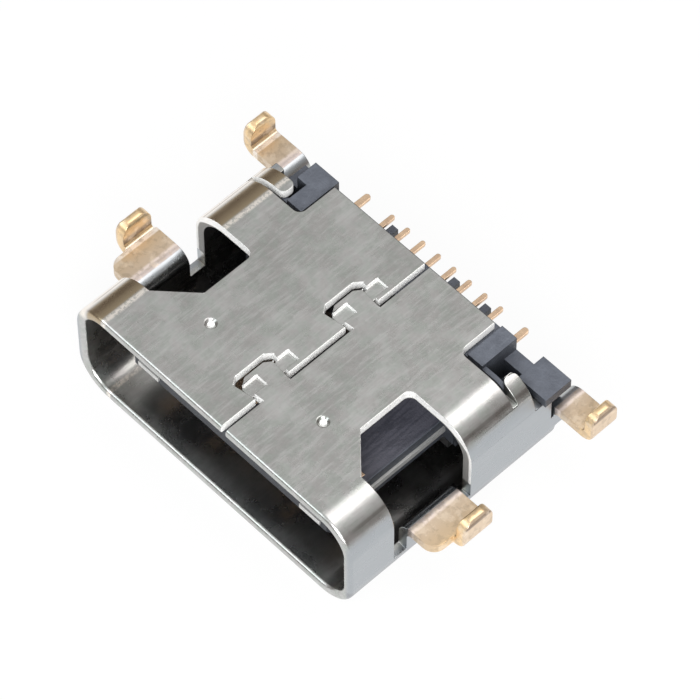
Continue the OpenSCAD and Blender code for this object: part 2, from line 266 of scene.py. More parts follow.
def prism(name: str, outline: Outline, z: Span) -> bpy.types.Object:
    """Adds an upright prism from an outline seen from above.

    Args:
        name: the name of the new object.
        outline: the corners, in order.
        z: its bottom and top.

    Returns:
        The prism, closed, with its faces outwards.
    """
    bpy.ops.object.select_all(action="DESELECT")
    bpy.ops.mesh.primitive_circle_add(vertices=len(outline), fill_type="NGON")
    piece = bpy.context.object
    piece.name = piece.data.name = name
    for vertex, (x, y) in zip(piece.data.vertices, outline):
        vertex.co = (x, y, z[0])
    with editing(piece, Pick.FACES):
        bpy.ops.mesh.select_all(action="SELECT")
        bpy.ops.mesh.extrude_region_move(TRANSFORM_OT_translate={"value": (0, 0, z[1] - z[0])})
        bpy.ops.mesh.select_all(action="SELECT")
        bpy.ops.mesh.normals_make_consistent(inside=False)
    return piece


def ball(name: str, centre: Triple, radius: float) -> bpy.types.Object:
    """Adds a fine ball that is used to press or raise a round mark.

    Args:
        name: the name of the new object.
        centre: its centre.
        radius: its radius.

    Returns:
        The ball, with its place in its mesh.
    """
    bpy.ops.object.select_all(action="DESELECT")
    bpy.ops.mesh.primitive_uv_sphere_add(
        segments=40, ring_count=24, radius=radius, location=centre
    )
    piece = bpy.context.object
    piece.name = piece.data.name = name
    bpy.ops.object.transform_apply(location=True, rotation=True, scale=True)
    return piece


def combine(
    piece: bpy.types.Object,
    tool: bpy.types.Object,
    how: Join,
    finish: bpy.types.Material | None = None,
) -> None:
    """Cuts a second solid out of a piece, or adds it, and clears the second solid away.

    Args:
        piece: the piece that stays.
        tool: the second solid.
        how: whether it is cut or added.
        finish: material of the faces that the second solid leaves, or None for its own.
    """
    if finish is not None:
        tool.data.materials.clear()
        tool.data.materials.append(finish)
        if finish.name not in piece.data.materials:
            piece.data.materials.append(finish)
    focus(piece)
    step = piece.modifiers.new("join", "BOOLEAN")
    step.object = tool
    step.operation = how.value
    step.solver = "EXACT"
    step.material_mode = "TRANSFER"
    bpy.ops.object.modifier_apply(modifier=step.name)
    bpy.data.objects.remove(tool, do_unlink=True)


def finish_floor(
    tool: bpy.types.Object, walls: bpy.types.Material, floor: bpy.types.Material
) -> None:
    """Gives a cutting solid one finish for the walls it leaves and one for the floor.

    Args:
        tool: the cutting solid. Where it has finishes already, its walls keep them.
        walls: finish of the walls of a solid that has none.
        floor: finish of the floor, which the solid's underside leaves.
    """
    if not tool.data.materials:
        tool.data.materials.append(walls)
    tool.data.materials.append(floor)
    for face in tool.data.polygons:
        if face.normal.z < -FLAT:
            face.material_index = len(tool.data.materials) - 1


def merge_close(piece: bpy.types.Object, gap: float) -> None:
    """Merges the points of a piece that are close together.

    Args:
        piece: the piece.
        gap: points closer than this become one.
    """
    with editing(piece, Pick.EDGES):
        bpy.ops.mesh.select_all(action="SELECT")
        bpy.ops.mesh.remove_doubles(threshold=gap)


def ease_edges(piece: bpy.types.Object, width: float, steps: int) -> None:
    """Eases every sharp edge of a piece and shades it smoothly.

    Args:
        piece: the piece.
        width: width of the eased edge.
        steps: how many faces make it.
    """
    focus(piece)
    step = piece.modifiers.new("eased", "BEVEL")
    step.width = width
    step.segments = steps
    step.limit_method = "ANGLE"
    step.angle_limit = SHARP_ANGLE
    step.use_clamp_overlap = False
    step.miter_outer = "MITER_ARC"
    bpy.ops.object.modifier_apply(modifier=step.name)
    bpy.ops.object.shade_smooth_by_angle(angle=SMOOTH_ANGLE)
    weighted = piece.modifiers.new("weighted", "WEIGHTED_NORMAL")
    weighted.keep_sharp = True
    weighted.weight = 100
    bpy.ops.object.modifier_apply(modifier=weighted.name)


def finish_piece(piece: bpy.types.Object, name: str, node: str) -> None:
    """Brings a finished piece down to metres and ties it to the frame.

    Args:
        piece: the piece, modelled in millimetres.
        name: its name in the visual model.
        node: the frame's node that it stands for.
    """
    piece.name = piece.data.name = name
    focus(piece)
    piece.scale = (MM, MM, MM)
    bpy.ops.object.transform_apply(location=True, rotation=True, scale=True)
    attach(piece, BODY)
    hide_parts(node)
    LOG.info("%s: %d faces, stands for %s", name, len(piece.data.polygons), node)


# ---------------------------------------------------------------- shader graphs
class Graph:
    """A node tree that is filled in one node at a time."""

    def __init__(self, tree: bpy.types.NodeTree) -> None:
        """Takes the tree to fill."""
        self.tree = tree

    def put(self, target: bpy.types.NodeSocket, value: object) -> None:
        """Links a socket to a target, or sets the target to a plain value.

        Args:
            target: the input socket.
            value: an output socket, a number, a colour or a vector.
        """
        if isinstance(value, bpy.types.NodeSocket):
            self.tree.links.new(value, target)
        elif isinstance(value, tuple) and target.type == "RGBA" and len(value) == 3:
            target.default_value = (*value, 1.0)
        else:
            target.default_value = value

    def node(
        self, kind: str, inputs: dict[str | int, object] | None = None, **settings: object
    ) -> bpy.types.Node:
        """Adds a node.

        Args:
            kind: the node's type without its ShaderNode prefix.
            inputs: socket names or numbers, and what goes into each.
            settings: the node's own options.

        Returns:
            The node.
        """
        made = self.tree.nodes.new("ShaderNode" + kind)
        for key, value in settings.items():
            setattr(made, key, value)
        for key, value in (inputs or {}).items():
            self.put(made.inputs[key], value)
        return made

    def math(self, operation: str, first: object, second: object = 0.5) -> bpy.types.NodeSocket:
        """One step of arithmetic, and its result."""
        return self.node("Math", {0: first, 1: second}, operation=operation).outputs[0]

    def times(self, first: object, *others: object) -> object:
        """The product of several values.

        Args:
            first: the first value.
            others: the values that it is multiplied by.

        Returns:
            The product.
        """
        for other in others:
            first = self.math("MULTIPLY", first, other)
        return first

    def between(
        self, value: object, start: float, end: float, low: float = 0.0, high: float = 1.0
    ) -> bpy.types.NodeSocket:
        """A smooth step from low to high while a value goes from start to end."""
        inputs = {0: value, 1: start, 2: end, 3: low, 4: high}
        return self.node("MapRange", inputs, interpolation_type="SMOOTHSTEP").outputs[0]

    def band(self, value: object, rise: Span, fall: Span) -> object:
        """A mask that opens over one span of a value and closes over another.

        Args:
            value: what the mask follows.
            rise: where it opens.
            fall: where it closes again.

        Returns:
            The mask.
        """
        return self.times(self.between(value, *rise), self.between(value, *fall, 1.0, 0.0))

    def blend(self, factor: object, first: object, second: object) -> bpy.types.NodeSocket:
        """A colour between two colours.

        Args:
            factor: 0 for the first colour, 1 for the second.
            first: the first colour.
            second: the second colour.

        Returns:
            The colour.
        """
        made = self.node("Mix", data_type="RGBA")
        self.put(made.inputs[0], factor)
        self.put(made.inputs[6], first)
        self.put(made.inputs[7], second)
        return made.outputs[2]

    def lay(self, tone: object, colour: object, *masks: object) -> bpy.types.NodeSocket:
        """Lays a colour over another as far as every mask and share lets it."""
        return self.blend(self.times(*masks), tone, colour)

    def ramp(self, value: object, stops: Stops) -> bpy.types.NodeSocket:
        """A colour that changes along a value, from stops of place and colour.

        Args:
            value: what the colour follows.
            stops: places from 0 to 1, and the colour at each.

        Returns:
            The colour.
        """
        made = self.node("ValToRGB", {0: value})
        made.color_ramp.interpolation = "EASE"
        points = made.color_ramp.elements
        while len(points) < len(stops):
            points.new(0.5)
        for point, (place, colour) in zip(points, stops):
            point.position = place
            point.color = (*colour, 1.0)
        return made.outputs[0]

    def group(self, tree: bpy.types.NodeTree, inputs: dict[str, object]) -> object:
        """Places a node group with its own values.

        Args:
            tree: the group's node tree.
            inputs: names of its inputs, and what goes into each.

        Returns:
            The group's outputs.
        """
        made = self.tree.nodes.new("ShaderNodeGroup")
        made.node_tree = tree
        for key, value in inputs.items():
            self.put(made.inputs[key], value)
        return made.outputs

    def in_millimetres(self, point: object) -> bpy.types.NodeSocket:
        """Turns a point in metres into millimetres."""
        scale = (1 / MM, 1 / MM, 1 / MM)
        return self.node("VectorMath", {0: point, 1: scale}, operation="MULTIPLY").outputs[0]

    def roughen(
        self, shader: bpy.types.Node, height: object, under: object | None = None
    ) -> None:
        """Raises a shader's surface a little.

        Args:
            shader: the material's main shader.
            height: how far it is raised, in millimetres.
            under: the normal to start from, or None for the surface's own.
        """
        inputs = {"Strength": 1.0, "Distance": MM, "Height": height}
        if under is not None:
            inputs["Normal"] = under
        self.put(shader.inputs["Normal"], self.node("Bump", inputs).outputs[0])


@dataclass
class SharedEffects:
    """The node groups that several materials use."""

    grain: bpy.types.NodeTree = field(init=False)
    place: bpy.types.NodeTree = field(init=False)
    # Detail and roughness of each layer of noise
    mottle_noise: Span = (5.0, 0.62)
    grain_noise: Span = (3.0, 0.6)
    streak_noise: Span = (3.0, 0.7)
    # Parts of the noise that are spread from 0 to 1
    mottle_reach: Span = (0.3, 0.7)
    grain_reach: Span = (0.25, 0.75)
    # How much finer the streaks are across, along and up
    streak_stretch: Triple = (9.0, 1.1, 9.0)

    def __post_init__(self) -> None:
        """Builds the groups once."""
        self.place = self._place()
        self.grain = self._grain()

    def where(self, graph: Graph, point: object) -> object:
        """Places the group that says where a point is, and gives its outputs."""
        return graph.group(self.place, {"Point": point})

    def surface(
        self, graph: Graph, point: object, mottle: float, grain: float, streak: float
    ) -> object:
        """Places the group that gives a surface its detail.

        Args:
            graph: the material's graph.
            point: the point on the surface.
            mottle: how fine the mottle is.
            grain: how fine the grain is.
            streak: how strong the drawn streaks are.

        Returns:
            The group's outputs.
        """
        inputs = {"Point": point, "Mottle Scale": mottle, "Grain Scale": grain, "Streak": streak}
        return graph.group(self.grain, inputs)

    @staticmethod
    def _open(
        name: str, inputs: list[tuple[str, str, float]], outputs: list[str]
    ) -> tuple[Graph, bpy.types.Node, bpy.types.Node]:
        """Opens a new group.

        Args:
            name: the group's name.
            inputs: name, socket type and starting value of each input.
            outputs: names of the outputs, each a number.

        Returns:
            The group's graph, its input node and its output node.
        """
        tree = bpy.data.node_groups.new(name, "ShaderNodeTree")
        for label, kind, value in inputs:
            socket = tree.interface.new_socket(name=label, in_out="INPUT", socket_type=kind)
            if kind == "NodeSocketFloat":
                socket.default_value = value
        for label in outputs:
            tree.interface.new_socket(
                name=label, in_out="OUTPUT", socket_type="NodeSocketFloat"
            )
        return Graph(tree), tree.nodes.new("NodeGroupInput"), tree.nodes.new("NodeGroupOutput")

    def _place(self) -> bpy.types.NodeTree:
        """Splits a point into millimetres across, along, up and out from the middle.

        Returns:
            The group.
        """
        axes = ["Across", "Along", "Up"]
        inputs = [("Point", "NodeSocketVector", 0.0)]
        graph, start, end = self._open("place_in_millimetres", inputs, axes + ["Out"])
        scaled = graph.in_millimetres(start.outputs["Point"])
        split = graph.node("SeparateXYZ", {0: scaled})
        for index, label in enumerate(axes):
            graph.put(end.inputs[label], split.outputs[index])
        graph.put(end.inputs["Out"], graph.math("ABSOLUTE", split.outputs[0]))
        return graph.tree

    def _grain(self) -> bpy.types.NodeTree:
        """Cloudy mottle, fine grain and drawn streaks of a surface.

        Returns:
            The group.
        """
        inputs = [
            ("Point", "NodeSocketVector", 0.0),
            ("Mottle Scale", "NodeSocketFloat", 1.5),
            ("Grain Scale", "NodeSocketFloat", 12.0),
            ("Streak", "NodeSocketFloat", 0.3),
        ]
        outputs = ["Mottle", "Grain", "Streaks"]
        graph, start, end = self._open("surface_grain", inputs, outputs)
        scaled = graph.in_millimetres(start.outputs["Point"])

        def noise(point: object, scale: object, kind: Span) -> object:
            """One layer of noise at a point, of a detail and a roughness."""
            values = {"Vector": point, "Scale": scale, "Detail": kind[0], "Roughness": kind[1]}
            return graph.node("TexNoise", values).outputs[0]

        mottle = noise(scaled, start.outputs["Mottle Scale"], self.mottle_noise)
        grain = noise(scaled, start.outputs["Grain Scale"], self.grain_noise)
        stretch = {0: scaled, 1: self.streak_stretch}
        drawn = graph.node("VectorMath", stretch, operation="MULTIPLY").outputs[0]
        streaks = graph.times(noise(drawn, 1.0, self.streak_noise), start.outputs["Streak"])
        graph.put(end.inputs["Mottle"], graph.between(mottle, *self.mottle_reach))
        graph.put(end.inputs["Grain"], graph.between(grain, *self.grain_reach))
        graph.put(end.inputs["Streaks"], streaks)
        return graph.tree


def new_material(name: str) -> tuple[bpy.types.Material, Graph, bpy.types.Node, object]:
    """Adds an empty material.

    Args:
        name: its name.

    Returns:
        The material, its graph, its main shader, and the point on the surface.
    """
    made = bpy.data.materials.new(name)
    made.use_nodes = True
    graph = Graph(made.node_tree)
    shader = made.node_tree.nodes["Principled BSDF"]
    return made, graph, shader, graph.node("TexCoord").outputs["Object"]


# ---------------------------------------------------------------- finishes
@dataclass(frozen=True)
class LegTones:
    """Colours of the legs, with painted shade and painted highlights at their folds, and where on
    them each one shows, out from the middle or up.
    """

    # Tan to gold along the leg is the plating. The dark first stops and the near-white stop at
    # 4.61 are painted shade and a painted highlight across the fold out of the side wall.
    stops: tuple[tuple[float, Colour], ...] = (
        (4.40, (0.30, 0.29, 0.29)),
        (4.52, (0.50, 0.43, 0.40)),
        (4.61, (0.98, 0.84, 0.76)),
        (4.69, (0.68, 0.54, 0.40)),
        (5.14, (0.66, 0.50, 0.33)),
        (5.34, (0.80, 0.58, 0.33)),
        (5.53, (0.90, 0.66, 0.38)),
        (5.61, (0.74, 0.58, 0.42)),
    )
    left: Span = (-0.1, 0.1)
    tip_out: Span = (5.16, 5.20)
    # Painted shade at the tip's inner fold and under its crest
    fold: Colour = (0.16, 0.11, 0.08)
    fold_up: tuple[Span, Span] = ((0.24, 0.33), (0.40, 0.54))
    fold_out: Span = (5.365, 5.385)
    fold_share: float = 0.85
    crest_out: Span = (5.600, 5.622)
    crest_up: tuple[Span, Span] = ((0.66, 0.73), (0.83, 0.87))
    crest_share: float = 0.8
    # Painted glint where a left tip starts
    glint: Colour = (1.0, 0.90, 0.80)
    glint_out: tuple[Span, Span] = ((5.14, 5.19), (5.28, 5.34))
    glint_up: Span = (0.215, 0.25)
    stain: Colour = (0.42, 0.32, 0.22)
    stain_grain: Span = (0.55, 0.1)
    bare: Colour = (0.96, 0.82, 0.66)
    bare_mottle: Span = (0.55, 0.95)
    worn_share: float = 0.40

    def build(self, graph: Graph, place: object, grain: object) -> object:
        """Tan plates, golden tips, painted shade at the tip folds and under the crests, and a
        painted glint where a left tip starts.

        Args:
            graph: the material's graph.
            place: outputs of the place group.
            grain: outputs of the finer grain group.

        Returns:
            The colour.
        """
        out, up = place["Out"], place["Up"]
        first, last = self.stops[0][0], self.stops[-1][0]
        along_leg = graph.node("MapRange", {0: out, 1: first, 2: last}).outputs[0]
        stops = [((x - first) / (last - first), colour) for x, colour in self.stops]
        # The ramp also paints shade and a highlight across the fold out of the side wall
        tone = graph.ramp(along_leg, stops)
        # Painted shade at the tip's inner fold, then under its crest
        tip = graph.between(out, *self.tip_out)
        inner = graph.between(out, *self.fold_out, self.fold_share, 0.0)
        tone = graph.lay(tone, self.fold, graph.band(up, *self.fold_up), tip, inner)
        outer = graph.between(out, *self.crest_out)
        crest = graph.band(up, *self.crest_up)
        tone = graph.lay(tone, self.fold, outer, crest, self.crest_share)
        # A painted glint where a left tip starts
        left = graph.between(place["Across"], *self.left, 1.0, 0.0)
        low = graph.between(up, *self.glint_up, 1.0, 0.0)
        tone = graph.lay(tone, self.glint, graph.band(out, *self.glint_out), low, left)
        stain = graph.between(grain["Grain"], *self.stain_grain)
        tone = graph.lay(tone, self.stain, stain, self.worn_share)
        bare = graph.between(grain["Mottle"], *self.bare_mottle)
        return graph.lay(tone, self.bare, bare, self.worn_share)


@dataclass(frozen=True)
class BendTones:
    """Painted light on the bends and the side walls, and how wide each one is."""

    bend_x: float = 3.47
    half_w: float = 4.44
    # Bluish painted reflection on the side walls, and painted shade low on them
    side_reflection: Colour = (0.415, 0.442, 0.470)
    side_reflection_out: Span = (-0.2, -0.08)
    side_reflection_share: float = 0.85
    shade: Colour = (0.33, 0.34, 0.36)
    shade_up: Span = (-0.62, -0.80)
    upper_up: Span = (0.9, 1.2)
    # Warm painted reflection across the left bend, and painted highlights at its outer edge and in
    # a line where it starts
    bend_reflection: Colour = (0.46, 0.37, 0.25)
    bend_reflection_start: Span = (0.02, 0.12)
    bend_reflection_end: Span = (-0.50, -0.36)
    bend_highlight: Colour = (0.99, 0.93, 0.86)
    edge_highlight: Span = (-0.46, -0.30)
    line_start: Span = (-0.10, -0.03)
    line_end: Span = (0.02, 0.09)
    line_grain: Span = (0.25, 0.6)
    line_least: float = 0.35

    def build(self, graph: Graph, tone: object, place: object, grain: object) -> object:
        """Bluish painted reflection and painted shade on the side walls, a warm painted reflection
        across the left bend, and painted highlights at its outer edge and in a line where it
        starts.

        Args:
            graph: the material's graph.
            tone: the colour so far.
            place: outputs of the place group.
            grain: outputs of the coarse grain group.

        Returns:
            The tinted colour.
        """
        # Painted reflection on the side walls, then painted shade low on them
        side = graph.between(place["Out"], *self._from(self.half_w, self.side_reflection_out))
        tone = graph.lay(tone, self.side_reflection, side, self.side_reflection_share)
        under = graph.between(place["Up"], *self.shade_up)
        tone = graph.lay(tone, self.shade, side, under)
        # Painted reflection across the left bend, a painted highlight at its outer edge and a
        # painted highlight line where it starts
        left = graph.times(place["Across"], -1.0)
        upper = graph.between(place["Up"], *self.upper_up)
        start = self._from(self.bend_x, self.bend_reflection_start)
        bend_reflection_band = graph.band(left, start, self._from(self.half_w, self.bend_reflection_end))
        tone = graph.lay(tone, self.bend_reflection, bend_reflection_band, upper)
        edge = graph.between(left, *self._from(self.half_w, self.edge_highlight))
        tone = graph.lay(tone, self.bend_highlight, edge, upper)
        start = self._from(self.bend_x, self.line_start)
        line = graph.band(left, start, self._from(self.bend_x, self.line_end))
        speck = graph.between(grain["Grain"], *self.line_grain, self.line_least, 1.0)
        return graph.lay(tone, self.bend_highlight, line, speck)

    @staticmethod
    def _from(place: float, reach: Span) -> Span:
        """A span given by its distances from a place."""
        return (place + reach[0], place + reach[1])


@dataclass(frozen=True)
class SheetFinish:
    """Tin-plated steel sheet: satin grey with cloudy mottle, painted light on the bends and sides,
    painted shade in the cavity and golden leg ends.
    """

    name: str = "plated_sheet"
    legs: LegTones = LegTones()
    bends: BendTones = BendTones()
    pale: Colour = (0.57, 0.575, 0.565)
    cloud: Colour = (0.425, 0.43, 0.41)
    rosy: Colour = (0.51, 0.48, 0.475)
    rosy_mottle: Span = (0.35, 0.95)
    mossy: Colour = (0.44, 0.485, 0.44)
    mossy_mottle: Span = (0.65, 0.05)
    patch_share: float = 0.45
    drawn: Colour = (0.66, 0.66, 0.65)
    drawn_streaks: Span = (0.44, 0.66)
    drawn_share: float = 0.5
    dark_grain: Span = (0.35, 0.0)
    dark_share: float = 0.4
    light_share: float = 0.16
    # Painted shade on the walls of the plug cavity behind the rim
    cavity_shade: Colour = (0.22, 0.20, 0.19)
    cavity_shade_share: float = 0.45
    cavity_up: Span = (1.275, 1.305)
    cavity_out: Span = (4.18, 4.20)
    cavity_along: Span = (0.15, 0.6)
    leg_out: Span = (4.45, 4.48)
    leg_metal: float = 0.7
    leg_rough: float = 0.06
    roughness: Span = (0.24, 0.32)
    grain_height: float = 0.0004
    cloud_height: float = 0.0006
    streak_height: float = 0.0014

    def build(self, effects: SharedEffects) -> bpy.types.Material:
        """Makes the material.

        Args:
            effects: the shared node groups.

        Returns:
            The material.
        """
        made, graph, shader, point = new_material(self.name)
        place = effects.where(graph, point)
        broad = effects.surface(graph, point, mottle=0.9, grain=13.0, streak=1.0)
        small = effects.surface(graph, point, mottle=3.1, grain=6.0, streak=1.0)
        tone = self._clouds(graph, broad, small)
        # Painted light on the bends and the side walls
        tone = self.bends.build(graph, tone, place, broad)
        # Painted shade inside the cavity
        tone = graph.lay(tone, self.cavity_shade, self._inside(graph, place), self.cavity_shade_share)
        legs = graph.between(place["Out"], *self.leg_out)
        leg_tone = self.legs.build(graph, place, small)
        graph.put(shader.inputs["Base Color"], graph.lay(tone, leg_tone, legs))
        graph.put(shader.inputs["Metallic"], graph.between(legs, 0.0, 1.0, 1.0, self.leg_metal))
        rough = graph.between(broad["Mottle"], 0.0, 1.0, *self.roughness)
        rough = graph.math("ADD", rough, graph.times(legs, self.leg_rough))
        graph.put(shader.inputs["Roughness"], rough)
        fine = graph.times(broad["Grain"], self.grain_height)
        cloud = graph.times(small["Grain"], self.cloud_height)
        streaks = graph.times(broad["Streaks"], self.streak_height)
        graph.roughen(shader, graph.math("ADD", fine, graph.math("ADD", cloud, streaks)))
        return made

    def _clouds(self, graph: Graph, broad: object, small: object) -> object:
        """Clouds, faint rosy and mossy patches, fine grain and drawn streaks of the open sheet.

        Args:
            graph: the material's graph.
            broad: outputs of the coarse grain group.
            small: outputs of the finer grain group.

        Returns:
            The colour.
        """
        tone = graph.blend(broad["Mottle"], self.cloud, self.pale)
        rosy = graph.between(small["Mottle"], *self.rosy_mottle)
        tone = graph.lay(tone, self.rosy, rosy, self.patch_share)
        mossy = graph.between(small["Mottle"], *self.mossy_mottle)
        tone = graph.lay(tone, self.mossy, mossy, self.patch_share)
        streaks = graph.between(broad["Streaks"], *self.drawn_streaks)
        tone = graph.lay(tone, self.drawn, streaks, self.drawn_share)
        dark = graph.between(small["Grain"], *self.dark_grain)
        tone = graph.lay(tone, self.cloud, dark, self.dark_share)
        return graph.lay(tone, self.drawn, broad["Grain"], self.light_share)

    def _inside(self, graph: Graph, place: object) -> object:
        """Mask of the walls of the plug cavity, behind the rim, where shade is painted.

        Args:
            graph: the material's graph.
            place: outputs of the place group.

        Returns:
            The mask.
        """
        height = graph.math("ABSOLUTE", place["Up"])
        low = graph.between(height, *self.cavity_up, 1.0, 0.0)
        narrow = graph.between(place["Out"], *self.cavity_out, 1.0, 0.0)
        return graph.times(low, narrow, graph.between(place["Along"], *self.cavity_along))


@dataclass(frozen=True)
class CutEdgeFinish:
    """Sheared faces of the sheet: near white, partly the pale bare steel and partly painted
    highlight, dull and finely scored, with a dark zone below that is partly the fracture zone and
    partly painted shade.
    """

    name: str = "sheared_edge"
    # Near white: the pale bare steel, raised further as a painted highlight
    pale: Colour = (0.99, 0.99, 0.985)
    worn: Colour = (0.84, 0.84, 0.82)
    worn_share: float = 0.35
    # Dark zone: partly the fracture zone of the cut, partly painted shade deep in cuts and gaps
    torn_and_shade: Colour = (0.15, 0.145, 0.14)
    torn_and_shade_share: float = 0.9
    torn_and_shade_blur: Span = (-0.015, 0.03)
    bright_depth: Span = (0.07, 0.225)
    bright_up: Span = (0.9, 1.3)
    metallic: float = 0.15
    roughness: Span = (0.36, 0.50)
    score_height: float = 0.003
    flat: Span = (3.47, 0.58)
    outer_r: float = 0.97

    def build(self, effects: SharedEffects) -> bpy.types.Material:
        """Makes the material.

        Args:
            effects: the shared node groups.

        Returns:
            The material.
        """
        made, graph, shader, point = new_material(self.name)
        grain = effects.surface(graph, point, mottle=5.0, grain=22.0, streak=0.6)
        tone = graph.lay(self.pale, self.worn, grain["Mottle"], self.worn_share)
        # Painted shade deeper down, over the fracture zone
        torn_and_shade = self._torn_and_shade_depth(graph, effects.where(graph, point))
        graph.put(shader.inputs["Base Color"], graph.lay(tone, self.torn_and_shade, torn_and_shade))
        graph.put(shader.inputs["Metallic"], self.metallic)
        rough = graph.between(grain["Grain"], 0.0, 1.0, *self.roughness)
        graph.put(shader.inputs["Roughness"], rough)
        graph.roughen(shader, graph.times(grain["Grain"], self.score_height))
        return made

    def _torn_and_shade_depth(self, graph: Graph, place: object) -> object:
        """Mask of the dark zone below the bright sheared one, partly the fracture zone and partly
        painted shade, which is thinner on the sides.

        Args:
            graph: the material's graph.
            place: outputs of the place group.

        Returns:
            The mask.
        """
        up = graph.math("ABSOLUTE", place["Up"])
        beyond = [
            graph.math("MAXIMUM", graph.math("SUBTRACT", value, start), 0.0)
            for value, start in zip((place["Out"], up), self.flat)
        ]
        squares = [graph.math("POWER", value, 2.0) for value in beyond]
        reach = graph.math("SQRT", graph.math("ADD", squares[0], squares[1]))
        depth = graph.math("SUBTRACT", self.outer_r, reach)
        limit = graph.between(place["Up"], *self.bright_up, *self.bright_depth)
        below = graph.math("SUBTRACT", depth, limit)
        return graph.between(below, *self.torn_and_shade_blur, 0.0, self.torn_and_shade_share)


@dataclass(frozen=True)
class MouldedFinish:
    """Moulded plastic: dark slate with flow clouds, a fine matt skin and faint scuffs."""

    name: str
    body: Colour
    cloud: Colour
    scuff: Colour
    streak: float = 0.3
    scuff_streaks: Span = (0.18, 0.26)
    scuff_share: float = 0.5
    shade: Colour = (0.012, 0.014, 0.018)
    side_normal: Span = (0.35, 0.85)
    side_share: float = 0.65
    nose_along: Span = (1.05, 1.30)
    nose_share: float = 0.85
    roughness: Span = (0.43, 0.58)
    skin_height: float = 0.006
    edge_r: float = 0.03

    def build(self, effects: SharedEffects) -> bpy.types.Material:
        """Makes the material.

        Args:
            effects: the shared node groups.

        Returns:
            The material.
        """
        made, graph, shader, point = new_material(self.name)
        grain = effects.surface(graph, point, mottle=2.6, grain=16.0, streak=self.streak)
        place = effects.where(graph, point)
        tone = graph.blend(grain["Mottle"], self.body, self.cloud)
        scuffs = graph.between(grain["Streaks"], *self.scuff_streaks)
        tone = graph.lay(tone, self.scuff, scuffs, self.scuff_share)
        # Painted shade: faces that don't face up, and the nose under the shell's rim, are darkened
        normal = graph.node("NewGeometry").outputs["True Normal"]
        facing = graph.node("SeparateXYZ", {0: normal}).outputs[2]
        sides = graph.between(facing, *self.side_normal, self.side_share, 0.0)
        nose = graph.between(place["Along"], *self.nose_along, self.nose_share, 0.0)
        dark = graph.math("MAXIMUM", sides, nose)
        graph.put(shader.inputs["Base Color"], graph.lay(tone, self.shade, dark))
        rough = graph.between(grain["Grain"], 0.0, 1.0, *self.roughness)
        graph.put(shader.inputs["Roughness"], rough)
        eased = graph.node("Bevel", {"Radius": self.edge_r * MM}, samples=6).outputs[0]
        graph.roughen(shader, graph.times(grain["Grain"], self.skin_height), eased)
        return made


@dataclass(frozen=True)
class PlatedFinish:
    """Plated or bare metal of a small part: satin, with mottle and drawn streaks."""

    name: str
    bright: Colour
    dull: Colour
    roughness: Span
    metallic: float = 1.0
    relief: float = 0.006

    def build(self, effects: SharedEffects) -> bpy.types.Material:
        """Makes the material.

        Args:
            effects: the shared node groups.

        Returns:
            The material.
        """
        made, graph, shader, point = new_material(self.name)
        grain = effects.surface(graph, point, mottle=4.0, grain=18.0, streak=0.6)
        tone = graph.blend(grain["Mottle"], self.bright, self.dull)
        graph.put(shader.inputs["Base Color"], tone)
        graph.put(shader.inputs["Metallic"], self.metallic)
        rough = graph.between(grain["Grain"], 0.0, 1.0, *self.roughness)
        graph.put(shader.inputs["Roughness"], rough)
        graph.roughen(shader, graph.times(grain["Streaks"], self.relief))
        return made


# ---------------------------------------------------------------- shell
@dataclass
class Leg:
    """Sizes of one pair of legs, folded out of the shell side."""

    y: Span
    tip_y: Span
    ear_r: float


